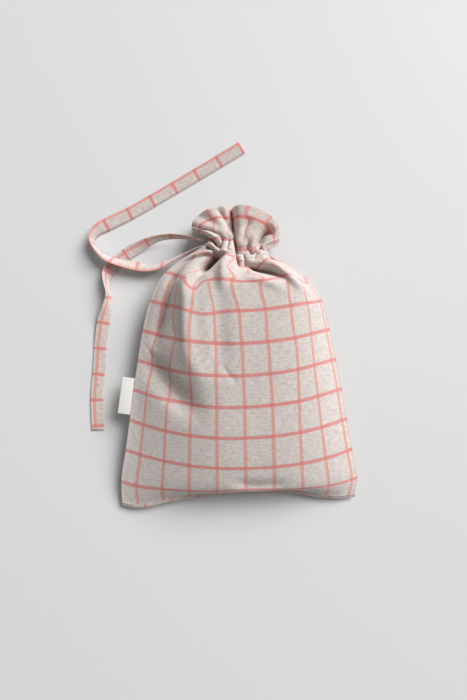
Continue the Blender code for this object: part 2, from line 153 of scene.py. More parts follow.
# %% The folds
Fold = namedtuple("Fold", "name depth width pinch lean top_s top_v mid_s mid_v end_s end_v")
FOLDS = (
    Fold("frill cleft",      -26.0, 2.6, 0.7,  0.0, -0.06, 436.0, -0.07, 392.0, -0.08, 350.0),
    Fold("cleft bank",        -6.0, 9.0, 0.0,  0.0, -0.06, 440.0, -0.07, 396.0, -0.08, 356.0),
    Fold("brown pleat",      -12.0, 3.0, 0.5,  0.0, -0.25, 412.0, -0.20, 386.0, -0.16, 348.0),
    Fold("left frill dip",    -6.0, 6.5, 0.0,  0.0, -0.66, 428.0, -0.52, 400.0, -0.32, 358.0),
    Fold("right frill pleat", -6.0, 3.4, 0.3,  0.0,  0.20, 396.0,  0.17, 376.0,  0.10, 354.0),
    Fold("right frill dip",   -5.0, 8.0, 0.0,  0.0,  0.36, 424.0,  0.34, 394.0,  0.28, 362.0),
    Fold("deep right dip",   -22.0, 5.0, 0.3,  0.0,  0.66, 400.0,  0.60, 376.0,  0.74, 348.0),
    Fold("crease over roll",  -7.0, 2.6, 0.4,  0.0, -1.00, 420.0, -0.76, 380.0, -0.36, 352.0),
    Fold("upper left roll",   10.0, 4.0, 0.0,  0.0, -1.06, 400.0, -0.86, 363.0, -0.40, 342.0),
    Fold("gap under it",     -18.0, 2.4, 0.6,  0.0, -1.06, 362.0, -0.76, 346.0, -0.42, 331.0),
    Fold("lower left roll",    7.0, 3.2, 0.0,  0.0, -1.06, 348.0, -0.64, 335.0, -0.38, 322.0),
    Fold("gap under that",   -14.0, 2.3, 0.6,  0.0, -1.02, 340.0, -0.70, 329.0, -0.44, 319.0),
    Fold("left roll",         11.0, 4.6, 0.0,  2.0, -1.06, 300.0, -0.80, 319.0, -0.40, 330.0),
    Fold("finger gap",       -13.0, 2.2, 0.6,  0.0, -0.50, 364.0, -0.50, 342.0, -0.44, 318.0),
    Fold("middle finger gap", -12.0, 2.0, 0.6,  0.0, -0.28, 368.0, -0.28, 344.0, -0.26, 322.0),
    Fold("neck valley",      -24.0, 3.2, 0.6,  0.0, -0.08, 366.0, -0.06, 342.0, -0.01, 312.0),
    Fold("slanted tuck",     -10.0, 2.4, 0.5,  0.0,  0.02, 340.0,  0.20, 352.0,  0.40, 372.0),
    Fold("short tuck",       -11.0, 2.2, 0.5,  0.0,  0.30, 366.0,  0.40, 350.0,  0.60, 338.0),
    Fold("right casing tuck", -9.0, 2.4, 0.5,  0.0,  0.14, 350.0,  0.20, 332.0,  0.12, 316.0),
    Fold("far tuck",         -10.0, 2.6, 0.6,  0.0,  0.92, 360.0,  0.66, 342.0,  0.36, 330.0),
    Fold("left hollow",      -38.0, 6.0, 0.0,  0.0, -0.41, 328.0, -0.46, 308.0, -0.52, 284.0),
    Fold("hollow's tail",    -12.0, 7.0, 0.0,  0.0, -0.44, 316.0, -0.50, 292.0, -0.54, 256.0),
    Fold("centre column",     13.0, 5.4, 0.0,  0.0, -0.28, 340.0, -0.23, 312.0, -0.14, 262.0),
    Fold("right trough",     -24.0, 7.0, 0.0,  0.0,  0.20, 330.0,  0.48, 304.0,  0.74, 276.0),
    Fold("trough bank",        4.0, 6.0, 0.0,  0.0,  0.10, 292.0,  0.36, 282.0,  0.62, 262.0),
    Fold("right shoulder",    11.0, 5.5, 0.0,  0.0,  0.46, 332.0,  0.66, 300.0,  0.84, 252.0),
    Fold("left crease",      -20.0, 7.0, 0.4,  0.0, -0.90, 314.0, -0.80, 250.0, -0.86, 180.0),
    Fold("left ridge",         9.0, 9.0, 0.0, -2.0, -0.66, 302.0, -0.54, 245.0, -0.42, 170.0),
    Fold("slanting trough",  -13.0, 14.0, 0.0, 0.0, -0.96, 186.0, -0.66, 154.0, -0.26, 118.0),
    Fold("slanting bank",      4.0, 12.0, 0.0, 0.0, -0.70, 212.0, -0.44, 184.0, -0.22, 150.0),
    Fold("middle trough",     -5.0, 11.0, 0.0, 0.0, -0.20, 286.0, -0.17, 230.0, -0.12, 160.0),
    Fold("bottom tuck",       -4.0, 5.0, 0.5,  0.0, -0.10,  17.0,  0.18,  14.0,  0.44,  18.0),
    Fold("tuck band",         -5.0, 8.0, 0.0,  0.0, -0.10,  44.0,  0.16,  38.0,  0.44,  42.0),
    Fold("small pucker",      -1.9, 3.5, 0.4,  0.0, -0.14, 186.0, -0.08, 175.0,  0.02, 164.0),
    Fold("edge pucker",       -2.2, 4.0, 0.4,  0.0, -0.96, 196.0, -0.90, 186.0, -0.80, 178.0),
)
print(len(FOLDS), "folds, the deepest", min(fold.depth for fold in FOLDS), "mm")

# %% [markdown]
# ## The drawstring's course
#
# Both ends of the strip leave the neck through the casing's slit, at the left. One tail swings
# out and crosses the table, and the other comes down beside the bag. A folded strip is stiff
# across its width, so it can only turn a corner by standing up on its edge. A flat curve would
# bend it like a ribbon of rubber, so the course here is a list of places with a tilt each.
#
# `tilt` says how far it stands up: 0 lies flat and 90 stands. `lift` is its lower edge's height
# over the table, and `width` the share of its width that isn't crushed.

# %% The drawstring's course
Turn = namedtuple("Turn", "x y lift tilt width")
TURNS = (
    Turn(4.7, 303.0, 0.0, 0, 1.0),
    Turn(-50.0, 270.0, 0.0, 0, 1.0),
    Turn(-106.0, 237.0, 0.0, 0, 1.0),
    Turn(-137.0, 219.5, 0.0, 3, 1.0),
    Turn(-160.5, 207.5, 0.3, 20, 1.0),
    Turn(-174.5, 198.5, 0.5, 52, 1.0),
    Turn(-179.8, 186.0, 0.8, 80, 1.0),
    Turn(-173.0, 174.5, 2.0, 80, 1.0),
    Turn(-158.0, 163.0, 4.0, 62, 1.0),
    Turn(-142.0, 158.5, 4.0, 50, 1.0),
    Turn(-124.0, 154.8, 2.5, 42, 1.0),
    Turn(-106.0, 153.3, 4.0, 45, 0.95),
    Turn(-88.5, 157.4, 8.0, 55, 0.85),
    Turn(-74.0, 163.5, 14.0, 68, 0.68),
    Turn(-58.5, 170.5, 20.0, 80, 0.52),
    Turn(-41.0, 175.5, 26.5, 90, 0.42),
    Turn(-33.0, 175.6, 27.2, 90, 0.38),
    Turn(-28.5, 179.0, 27.4, 90, 0.38),
    Turn(-33.0, 182.3, 27.4, 90, 0.38),
    Turn(-41.0, 182.5, 26.7, 85, 0.42),
    Turn(-57.0, 186.5, 20.0, 68, 0.5),
    Turn(-76.0, 189.5, 15.5, 55, 0.55),
    Turn(-97.0, 188.5, 10.0, 40, 0.6),
    Turn(-113.0, 183.5, 5.0, 24, 0.75),
    Turn(-128.0, 176.5, 1.2, 8, 0.9),
    Turn(-141.0, 168.5, 0.0, 0, 1.0),
    Turn(-152.5, 159.0, 0.0, 4, 1.0),
    Turn(-160.5, 146.5, 0.2, 44, 1.0),
    Turn(-161.5, 134.0, 0.3, 74, 1.0),
    Turn(-159.0, 121.0, 0.4, 80, 1.0),
    Turn(-160.5, 107.0, 0.3, 58, 1.0),
    Turn(-165.5, 89.0, 0.0, 20, 1.0),
    Turn(-169.5, 64.5, 0.0, 4, 1.0),
    Turn(-172.0, 30.0, 0.0, 0, 1.0),
    Turn(-174.8, -5.0, 0.0, 0, 1.0),
    Turn(-173.5, -47.0, 0.0, 0, 1.0),
)
print("the strip's course has", len(TURNS), "turns")

# %% [markdown]
# ## Curves through the tables
#
# A table gives a few sure places, and a smooth curve joins them. Blender's own curve objects
# could do it for three numbers at a time, but a row of `LEVELS` has fourteen, so one function
# reads them all. `ease` is the soft step that cloth makes wherever it passes from one state to
# another.

# %% Curves through the tables
def ease(u):
    """Goes softly from 0 to 1 as u does."""
    u = np.clip(u, 0.0, 1.0)
    return u * u * (3 - 2 * u)


def through(rows, places, at):
    """Reads a smooth curve through the rows, which stand at the given places."""
    rows = np.asarray(rows, float)
    places = np.asarray(places, float)
    slopes = np.gradient(rows, places, axis=0)
    at = np.clip(at, places[0], places[-1])
    left = np.clip(np.searchsorted(places, at, side="right") - 1, 0, len(places) - 2)
    span = places[left + 1] - places[left]
    u = (at - places[left]) / span
    return (rows[left] * (1 - ease(u)) + rows[left + 1] * ease(u)
            + slopes[left] * span * u * (1 - u) ** 2 - slopes[left + 1] * span * u * u * (1 - u))


def level_at(cloth):
    """The level's row at any distance up the cloth."""
    return Level(*through(LEVELS, [row.cloth for row in LEVELS], cloth))


halfway = level_at(CLOTH_LENGTH / 2)
print("halfway up the cloth the bag is", round(2 * halfway.reach), "mm wide and",
      round(halfway.crown), "mm high")

# %% [markdown]
# ## A level line in plan
#
# Seen from above, the line is a shallow arc, which opens into more than a half circle in the
# frill. A part of a circle is all it takes: its angle grows and its reach shrinks as the cloth
# is gathered. Under the casing the gathers draw the right half of the lines down a little.

# %% A level line in plan
DROP_LEFT, DROP_RISE = 0.07, 0.10     # the drop starts this far left of the middle, and its rise
DROP_RIGHT, DROP_FALL = 0.72, 0.34    # where it ends at the right, and the length of its fall


def plan_line(level, across):
    """Plan places of a level's line, from -1 at the left seam to 1 at the right."""
    turn = math.radians(level.fan)
    widest = math.sin(min(turn, math.pi / 2))
    x = level.mid_x + (level.reach - SEAM_LIP) * np.sin(across * turn) / widest
    seam_y = np.where(across < 0, level.left_y, level.right_y)
    y = level.mid_y + (seam_y - level.mid_y) * (1 - np.cos(across * turn)) / (1 - math.cos(turn))
    drop = ease((across + DROP_LEFT) / DROP_RISE) * ease((DROP_RIGHT - across) / DROP_FALL)
    return x, y - level.drop * drop


seam_to_seam = plan_line(LEVELS[0], np.array([-1.0, 1.0]))[0]
print("the bottom seam is", round(float(np.ptp(seam_to_seam))), "mm long in plan")

# %% [markdown]
# ## The same line seen from the end
#
# From the end the line is an arch, like a loaf: it rises at the seams and is flat on top. A
# power curve draws that with two numbers, one for how flat the top is and one for how the cloth
# leaves the seam. The filling lies a little to the right, so the right half is fuller. The side
# seams stand off the table, and the bottom seam arches low between them.

# %% The same line seen from the end
LEFT_POWER = 1.35         # above 1, the cloth leaves the seam flat and rises later
RIGHT_POWER = 1.05
RIGHT_FULLER = 1.3
RIGHT_SHARE = 0.3         # how far from the middle the right half's own shape sets in
EVEN_FROM = 270.0         # from here up the cloth both halves become alike again
EVEN_RISE = 60.0
BOTTOM_RISE = 42.0        # how far up the cloth the bottom seam's own shape is felt
SLIT_SHARE = 0.55         # how far to the left seam the slit begins to open


def arch(level, across):
    """The line's arch from the seams to the crown, 0 to 1."""
    right = ease(across / RIGHT_SHARE) * (1 - ease((level.cloth - EVEN_FROM) / EVEN_RISE))
    power = LEFT_POWER + (RIGHT_POWER - LEFT_POWER) * right
    return (1 - np.abs(across) ** (level.full + RIGHT_FULLER * right)) ** power


def seam_height(level, across):
    """Height of the side seams, and between them the bottom seam's low arch."""
    side = np.where(across < 0, level.left_z, level.right_z)
    first = LEVELS[0]
    first_side = np.where(across < 0, first.left_z, first.right_z)
    return side + (first.crown - first_side) * (1 - np.abs(across) ** first.full)


def slit_height(level, across):
    """Half of the slit that the drawstring leaves through, at the left seam."""
    return max(level.slit, 0.0) * ease((-across - SLIT_SHARE) / (1 - SLIT_SHARE))


def bottom_bulge(cloth, across):
    """How far the bottom seam swings out of its plain arc, dying away up the cloth."""
    up = through([row.up for row in BOTTOM_BULGES], [row.share for row in BOTTOM_BULGES], across)
    return up * (1 - ease(cloth / BOTTOM_RISE))


print("halfway to the left seam the arch has", round(100 * float(arch(halfway, -0.5))),
      "% of its height, and to the right", round(100 * float(arch(halfway, 0.5))), "%")

# %% [markdown]
# ## Folds along their courses
#
# A fold is a soft groove or ridge along a path. A displacement map could press it in, but only
# straight up and down, and a deep fold also draws its banks together. So each point of a line
# looks for the nearest place on the fold's course, and takes both a height and a shift from it.
# The finer the course is stepped, the smoother the groove, and 121 steps leave no beads.

# %% Folds along their courses
PATH_STEPS = np.linspace(0.0, 1.0, 121)
FADE_SHARE = 3            # a fold rises and dies away over a third of its course each
FOLD_REACH = 3            # past this many widths a fold is no longer felt
EDGE_SHARE = 0.10         # share beside a side seam over which all folds die away


def fold_path(fold):
    """A fold's course: shares across, cloth levels, and its strength along the way."""
    ends = [(fold.top_s, fold.top_v), (fold.mid_s, fold.mid_v), (fold.end_s, fold.end_v)]
    share, cloth = np.array([through(ends, [0.0, 0.5, 1.0], u) for u in PATH_STEPS]).T
    return share, cloth, ease(FADE_SHARE * PATH_STEPS) * ease(FADE_SHARE * (1 - PATH_STEPS))


FOLD_PATHS = [(fold, fold_path(fold)) for fold in FOLDS]


def fold_shape(level, across):
    """Height and sideways shift that the folds give to one level's line."""
    height = np.zeros_like(across)
    shift = np.zeros_like(across)
    for fold, (share, cloth, strength) in FOLD_PATHS:
        reach = FOLD_REACH * fold.width
        if not cloth.min() - reach < level.cloth < cloth.max() + reach:
            continue
        sideways = (across[:, None] - share) * level.reach
        away = np.hypot(sideways, level.cloth - cloth)
        nearest = away.argmin(axis=1)
        beside = np.take_along_axis(sideways, nearest[:, None], 1)[:, 0]
        hill = strength[nearest] * np.exp(-(away.min(axis=1) / fold.width) ** 2)
        height += fold.depth * hill
        shift += (fold.lean - fold.pinch * beside) * hill
    fade = ease((1 - np.abs(across)) / EDGE_SHARE)
    return height * fade, shift * fade


print("the longest fold runs over",
      round(max(float(np.ptp(cloth)) for _, (_, cloth, _) in FOLD_PATHS)), "mm of the cloth")

# %% [markdown]
# ## The casing
#
# The drawstring runs in a tunnel between two rows of stitches. Stitches nip the cloth down, the
# strip inside puffs it up, and cloth that is pushed together along the strip crumples. Two waves
# of uneven length, one wide and one fine, are enough for the crumple. Each wave wanders a
# little up the cloth, so that it doesn't look ruled.

# %% The casing
STITCH_ROWS = (320.0, 352.0)
STITCH_NIP = 1.2          # how deep the stitches draw the cloth down
STITCH_WIDTH = 3.0
TUNNEL_PUFF = 5.0
TUNNEL_WIDTH = 10.0
CRUMPLE = 0.7
CRUMPLE_FROM, CRUMPLE_RISE = 298.0, 22.0
CRUMPLE_TO, CRUMPLE_FALL = 356.0, 36.0
Wave = namedtuple("Wave", "share count start sway sway_length sway_start")
CRUMPLE_WAVES = (Wave(0.6, 5.0, 1.0, 0.30, 9.0, 0.0), Wave(0.4, 9.5, 2.2, 0.25, 5.0, 2.0))


def casing_shape(level, across):
    """The tunnel for the drawstring: nipped at both rows of stitches, puffed and crumpled."""
    v = level.cloth
    puff = TUNNEL_PUFF * math.exp(-((v - sum(STITCH_ROWS) / 2) / TUNNEL_WIDTH) ** 2)
    nip = sum(STITCH_NIP * math.exp(-((v - row) / STITCH_WIDTH) ** 2) for row in STITCH_ROWS)
    close = (ease((v - CRUMPLE_FROM) / CRUMPLE_RISE)
             * (1 - ease((v - CRUMPLE_TO) / CRUMPLE_FALL)))
    crumple = np.zeros_like(across)
    for wave in CRUMPLE_WAVES:
        sway = wave.sway * math.sin(v / wave.sway_length + wave.sway_start)
        crumple += wave.share * np.sin(2 * math.pi * (wave.count * across + sway) + wave.start)
    edge = ease((1 - np.abs(across)) / EDGE_SHARE)
    return (puff - nip + CRUMPLE * close * crumple) * edge


tunnel = casing_shape(level_at(sum(STITCH_ROWS) / 2), np.linspace(-1.0, 1.0, 101))
print("the tunnel puffs up by", round(float(tunnel.max()), 1), "mm")

# %% [markdown]
# ## Both panels, line by line
#
# The front line takes the arch, the folds and the casing. The back panel is the same line let
# down flat on the table, with its own even pleats where it is gathered, as on a skirt's waist.

# %% Both panels, line by line
SAMPLES = 601             # places that a line is first drawn with
FLAT_SHARE = 0.55         # how far to the seams the back lies flat
BACK_GATHER = 250.0       # the back panel's pleats start here, and end at the frill
GATHER_RISE = 60.0
GATHER_EDGE = 0.15
BACK_PLEATS = 8
BACK_PLEAT_DEPTH = 12.0


def front_line(cloth, folds=1.0):
    """The inner face of the front panel along one level."""
    level = level_at(cloth)
    across = np.linspace(-1.0, 1.0, SAMPLES)
    x, y = plan_line(level, across)
    side = np.where(across < 0, level.left_z, level.right_z)
    height, shift = fold_shape(level, across)
    height += casing_shape(level, across)
    z = side + (level.crown - side) * arch(level, across) + folds * height
    return np.column_stack([x + folds * shift, y + bottom_bulge(cloth, across),
                            z + SEAM_GAP / 2 + slit_height(level, across)])


def back_line(cloth):
    """The inner face of the back panel along one level, flat where it rests."""
    level = level_at(cloth)
    across = np.linspace(-1.0, 1.0, SAMPLES)
    x, y = plan_line(level, across)
    beside = ease((np.abs(across) - FLAT_SHARE) / (1 - FLAT_SHARE))
    near_seam = 1 - (1 - beside) * ease(cloth / BOTTOM_RISE)
    floor = CLOTH_THICK + max(level.back, 0.0)
    seam = seam_height(level, across) - SEAM_GAP / 2
    z = floor + (seam - floor) * near_seam - slit_height(level, across)
    gathered = (ease((cloth - BACK_GATHER) / GATHER_RISE)
                * ease((1 - np.abs(across)) / GATHER_EDGE))
    pleats = 0.5 - 0.5 * np.cos(across * math.pi * BACK_PLEATS)
    return np.column_stack([x, y + bottom_bulge(cloth, across),
                            z + gathered * BACK_PLEAT_DEPTH * pleats])


print("the front stands", round(float(front_line(CLOTH_LENGTH / 2)[:, 2].max())), "mm high halfway")

# %% [markdown]
# ## Threads of even length
#
# Threads stay evenly spaced along the surface, over ridges and down troughs alike: linen hardly
# stretches. So each line is divided into equal lengths of cloth. A grid spaced evenly in plan
# would be simpler, but its check would widen on every slope. Where the folds are broad the
# threads follow only part of their length, because loose cloth slides over the filling.

# %% Threads of even length
SURFACE_LEVELS = np.linspace(0.0, CLOTH_LENGTH, 241)
THREADS = 301             # evenly spaced places along each line
FOLD_LENGTH_SHARE = 0.4   # how much of a broad fold's length the threads have to follow
GRIP_FROM = 245.0         # from here up the cloth they follow more of it,
GRIP_RISE = 35.0          # and all of it this much further up


def even_points(line, measured, count):
    """Spaces points along a line evenly by the length of the measured one."""
    steps = np.linalg.norm(np.diff(measured, axis=0), axis=1)
    along = np.concatenate([[0.0], np.cumsum(steps)])
    wanted = np.linspace(0.0, along[-1], count)
    return np.column_stack([np.interp(wanted, along, line[:, axis]) for axis in range(3)])


def front_threads(cloth):
    """One level of the front panel in equal lengths of cloth."""
    share = FOLD_LENGTH_SHARE + (1 - FOLD_LENGTH_SHARE) * ease((cloth - GRIP_FROM) / GRIP_RISE)
    return even_points(front_line(cloth), front_line(cloth, share), THREADS)


def back_threads(cloth):
    """One level of the back panel in equal lengths of cloth."""
    line = back_line(cloth)
    return even_points(line, line, THREADS)


drawn = np.linalg.norm(np.diff(front_threads(CLOTH_LENGTH / 2), axis=0), axis=1).sum()
print("halfway up, the front's line is", round(float(drawn)), "of", CLOTH_WIDTH, "mm long")

# %% [markdown]
# ## Where the cloth has slid
#
# Handled linen doesn't keep a square check: the threads slide towards the gathers and dip over
# the creases. The check could be painted bent, but then the weave wouldn't follow it. So the
# threads themselves are carried along the surface, which stays as it is. Each row is one soft
# push: its place on the flat cloth, how wide and how high it reaches, and how far it carries
# the threads. The side seams are stitched, and hold theirs.

# %% Where the cloth has slid
Slide = namedtuple("Slide", "name across up wide high sideways upward")
SLIDES = (
    Slide("dip over the left crease",      88, 284, 20, 22,   6, -15),
    Slide("under that dip",               104, 247, 26, 18,   0,  -5),
    Slide("into the crease, outside",      54, 284, 18, 22,  10,  -2),
    Slide("from the left seam",            20, 284, 16, 22,  -6,   0),
    Slide("beside the centre column",     138, 266, 32, 28,  -7,   0),
    Slide("over the right shoulder",      232, 282, 26, 28,  11,   4),
    Slide("down the right seam",          286, 282, 24, 22,  -6,  -9),
    Slide("towards the right edge",       262, 150, 26, 95,  -7,   1),
    Slide("inside the right edge",        222, 190, 16, 40,   4,   0),
    Slide("at the left pucker",            54, 208, 16, 20,   9,   0),
    Slide("lifted by the filling",        205, 130, 90, 90,   0,   2.5),
    Slide("above the bottom tuck",        156,  25, 50, 18,   0,   5),
    Slide("into the right lower corner",  250,   2, 34, 18,   4.5, 0),
    Slide("on the centre column",         156, 304, 26, 12,   8,   0),
    Slide("at the column's foot",         140, 286, 32,  9,  -6,   0),
    Slide("inside the right lobe",        206, 399, 28,  8,   7,   0),
    Slide("into the cleft from the left",  94, 404, 28, 26,  27,   0),
    Slide("over the left lobe",            54, 402, 20, 26,   3,   0),
    Slide("into it from the right",       156, 402, 15, 24, -10,   0),
    Slide("round the frill's right end",  228, 402, 28, 24,  13,   0),
)
SEAM_HOLD = 12.0          # the threads this near to a side seam are held by it


def slid(across, up):
    """The places on the surface that the threads take, both seams staying put."""
    u, v = np.meshgrid(across, up)
    held = ease(u / SEAM_HOLD) * ease((CLOTH_WIDTH - u) / SEAM_HOLD)
    sideways, upward = u.copy(), v.copy()
    for row in SLIDES:
        near = held * np.exp(-((u - row.across) / row.wide) ** 2 - ((v - row.up) / row.high) ** 2)
        sideways += row.sideways * near
        upward += row.upward * near
    return np.clip(sideways, 0, CLOTH_WIDTH), np.clip(upward, 0, CLOTH_LENGTH)


print(len(SLIDES), "slides, the longest", max(abs(row.sideways) for row in SLIDES), "mm")

# %% [markdown]
# ## A grid of points for a panel
#
# A panel is a grid with a point at every second or third thread, close enough for the sharpest
# fold. The back, which is hardly seen, makes do with half as many across. Each point looks up
# its own place on the finely drawn surface. One more column at each side and one more row at
# the bottom make the seam's lip, the narrow edge of cloth outside the stitches.

# %% A grid of points for a panel
def panel_points(threads_of, columns, levels, lip, slides):
    """All of a panel's points, row by row from the bottom lip to the frill's edge."""
    surface = np.array([threads_of(cloth) for cloth in SURFACE_LEVELS])
    across = np.linspace(0.0, CLOTH_WIDTH, columns - 2)
    sideways, upward = slid(across, levels) if slides else np.meshgrid(across, levels)
    column = sideways / CLOTH_WIDTH * (THREADS - 1)
    row = np.interp(upward, SURFACE_LEVELS, range(len(SURFACE_LEVELS)))
    i = np.minimum(row.astype(int), len(SURFACE_LEVELS) - 2)
    j = np.minimum(column.astype(int), THREADS - 2)
    a, b = (row - i)[..., None], (column - j)[..., None]
    points = ((1 - a) * ((1 - b) * surface[i, j] + b * surface[i, j + 1])
              + a * ((1 - b) * surface[i + 1, j] + b * surface[i + 1, j + 1]))
    turn = np.radians([min(level_at(cloth).fan, 90) - LEVELS[0].fan for cloth in levels])
    lips = SEAM_LIP * np.column_stack([np.cos(turn), -np.sin(turn), 0 * turn])
    points = np.concatenate([(points[:, 0] + lips * (-1, 1, 0))[:, None], points,
                             (points[:, -1] + lips)[:, None]], axis=1)
    return np.concatenate([points[:1] - (0, lip, 0), points])


FRONT_COLUMNS = 170
BACK_COLUMNS = 80
CLOTH_LEVELS = np.concatenate([np.linspace(0, 290, 120), np.linspace(292, CLOTH_LENGTH, 84)])

front_points = panel_points(front_threads, FRONT_COLUMNS, CLOTH_LEVELS, SEAM_LIP, True)
back_points = panel_points(back_threads, BACK_COLUMNS, CLOTH_LEVELS, BACK_LIP, False)
print("the front has", front_points[..., 0].size, "points and the back", back_points[..., 0].size)

# %% [markdown]
# ## From the bag's own place to the frame
#
# The tables measure from the middle of the bag, while the solid parts stand in a frame of their
# own. The label is a plain tab whose place the tables give exactly, so the step from one to the
# other is read from it.

# %% From the bag's own place to the frame
LEAN_SPAN = 20.0          # the seam's lean is read this far above and below the label


def label_place():
    """Middle of the label beside the left seam, and how far the seam leans there."""
    row, above, below = (level_at(LABEL_CLOTH + away) for away in (0, LEAN_SPAN, -LEAN_SPAN))
    lean = math.atan2((above.mid_x - above.reach) - (below.mid_x - below.reach),
                      above.left_y - below.left_y)
    out = row.reach + SEAM_GAP + LABEL_WIDTH / 2
    return Vector((row.mid_x - out, row.left_y, row.left_z)), lean


low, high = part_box("label")
STEP = (low + high) / 2 / MM - label_place()[0]
print("the bag's own middle stands at", [round(v, 2) for v in STEP], "mm in the frame")

# %% [markdown]
# ## A sheet of cloth from its points
#
# `create_grid` lays out the cloth flat. Its map is in real metres, so that every pattern can be
# measured on the cloth. Then each corner is carried to its place, and Solidify gives the sheet
# its thickness: the front's upwards from its inner face, and the back's down onto the table.

# %% A sheet of cloth from its points
def to_piece(bm, name):
    """Ends a bmesh and puts it into the scene as a piece."""
    mesh = bpy.data.meshes.new(name)
    bm.to_mesh(mesh)
    bm.free()
    piece = bpy.data.objects.new(name, mesh)
    bpy.context.scene.collection.objects.link(piece)
    return piece


def sheet(name, points, levels, lip, outward):
    """A cloth sheet through a grid of points, mapped in metres of its own flat cloth."""
    rows, columns, _ = points.shape
    bm = bmesh.new()
    map_layer = bm.loops.layers.uv.new("cloth")
    bmesh.ops.create_grid(bm, x_segments=columns - 1, y_segments=rows - 1, size=0.5)
    bm.verts.ensure_lookup_table()
    across = np.concatenate([[-SEAM_LIP], np.linspace(0, CLOTH_WIDTH, columns - 2),
                             [CLOTH_WIDTH + SEAM_LIP]])
    up = np.concatenate([[-lip], levels])
    for face in bm.faces:
        face.smooth = True
        for corner in face.loops:
            row, column = divmod(corner.vert.index, columns)
            corner[map_layer].uv = (across[column] * MM, up[row] * MM)
    for vert, place in zip(bm.verts, points.reshape(-1, 3)):
        vert.co = (Vector(place) + STEP) * MM
    piece = to_piece(bm, name)
    thicken = piece.modifiers.new("cloth_thickness", "SOLIDIFY")
    thicken.thickness = CLOTH_THICK * MM
    thicken.offset = outward
    return piece


front = sheet("front_cloth", front_points, CLOTH_LEVELS, SEAM_LIP, 1)
back = sheet("back_cloth", back_points, CLOTH_LEVELS, BACK_LIP, -1)
print("front panel", len(front.data.polygons), "faces; back panel", len(back.data.polygons))

# %% [markdown]
# ## The drawstring's section
#
# The drawstring is a strip of linen folded in on itself and stitched along one edge, so its
# section is a flat bar with soft corners. A circle squeezed flat would give it sharp edges. With
# a power below 1 the same circle fills its corners. Where the strip tips on its edge, its lower
# edge still rests on the table, which gives the height of its middle.

# %% The drawstring's section
TIE_AROUND = 16           # corners around the section
FULL_ACROSS = 0.5         # below 1, the section fills its corners
FULL_HEIGHT = 0.6


def strip_section(width):
    """The strip's section, drawn at a share of its width: places across, and heights."""
    angle = np.linspace(0, 2 * math.pi, TIE_AROUND + 1) + math.pi / TIE_AROUND
    half = TIE_WIDTH / 2 * width
    across = half * np.sign(np.cos(angle)) * np.abs(np.cos(angle)) ** FULL_ACROSS
    height = TIE_THICK / 2 * np.sign(np.sin(angle)) * np.abs(np.sin(angle)) ** FULL_HEIGHT
    return across, height


def strip_height(turn):
    """Height of the strip's middle when its lower edge stands on the surface."""
    tilt = math.radians(turn.tilt)
    half = TIE_WIDTH / 2 * turn.width * math.sin(tilt)
    return half + TIE_THICK / 2 * max(math.cos(tilt), turn.width) + turn.lift


print("the strip's middle lies", round(min(strip_height(turn) for turn in TURNS), 1), "to",
      round(max(strip_height(turn) for turn in TURNS), 1), "mm high")

# %% [markdown]
# ## The drawstring along its course
#
# A curve object with a bevelled profile would follow the course, but its own twist is hard to
# tame at tight turns. Here the section is set square to the course at every step and tipped by
# the tilt of the table, so the strip never twists more than it's told to.

# %% The drawstring along its course
TIE_STEP = 2.5            # length of one step along the strip
TIE_SLIDE = 3.6           # it was folded a little askew, so its long stripe wanders this far
TIE_SLIDE_FROM = 300.0    # along the strip, where it begins to wander
TIE_SLIDE_RISE = 200.0
MERGE_WITHIN = 0.001


def strip_stations():
    """Places, tilts and widths of the strip at even steps, and its length."""
    route = np.array([(t.x, t.y, strip_height(t), t.tilt, t.width) for t in TURNS])
    steps = np.linalg.norm(np.diff(route[:, :3], axis=0), axis=1)
    places = np.concatenate([[0.0], np.cumsum(steps)])
    count = int(places[-1] / TIE_STEP)
    stations = [through(route, places, at) for at in np.linspace(0, places[-1], count)]
    return np.array(stations), places[-1]


def drawstring():
    """The strip lofted along its course, mapped in metres across and along."""
    stations, length = strip_stations()
    heading = np.gradient(stations[:, :3], axis=0)
    heading /= np.linalg.norm(heading, axis=1)[:, None]
    rows, columns = len(stations), TIE_AROUND + 1
    bm = bmesh.new()
    map_layer = bm.loops.layers.uv.new("cloth")
    bmesh.ops.create_grid(bm, x_segments=TIE_AROUND, y_segments=rows - 1, size=0.5)
    bm.verts.ensure_lookup_table()
    across, _ = strip_section(1.0)
    for face in bm.faces:
        face.smooth = True
        for corner in face.loops:
            row, column = divmod(corner.vert.index, columns)
            along = row * length / (rows - 1)
            slide = TIE_SLIDE * ease((along - TIE_SLIDE_FROM) / TIE_SLIDE_RISE)
            corner[map_layer].uv = ((across[column] + slide) * MM, along * MM)
    for row, (x, y, z, tilt, width) in enumerate(stations):
        ahead = Vector(heading[row])
        side = ahead.cross(Vector((0, 0, 1))).normalized()
        up = side.cross(ahead).normalized()
        turn = math.radians(tilt)
        wide = side * math.cos(turn) + up * math.sin(turn)
        thin = up * math.cos(turn) - side * math.sin(turn)
        for column, (out, height) in enumerate(zip(*strip_section(width))):
            place = Vector((x, y, z)) + wide * out + thin * height
            bm.verts[row * columns + column].co = (place + STEP) * MM
    bmesh.ops.remove_doubles(bm, verts=bm.verts[:], dist=MERGE_WITHIN * MM)
    bmesh.ops.holes_fill(bm, edges=[edge for edge in bm.edges if edge.is_boundary])
    bmesh.ops.recalc_face_normals(bm, faces=bm.faces[:])
    return to_piece(bm, "drawstring_strip"), length


tie, tie_length = drawstring()
print("drawstring", round(tie_length), "mm long")

# %% [markdown]
# ## The label
#
# A woven tab folded double and caught in the left side seam. It stays blank. A cube, scaled to
# its size and bevelled, is all that a small folded tab needs: the bevel is the soft fold.

# %% The label
LABEL_SOFT = 0.35         # radius of its folded edges


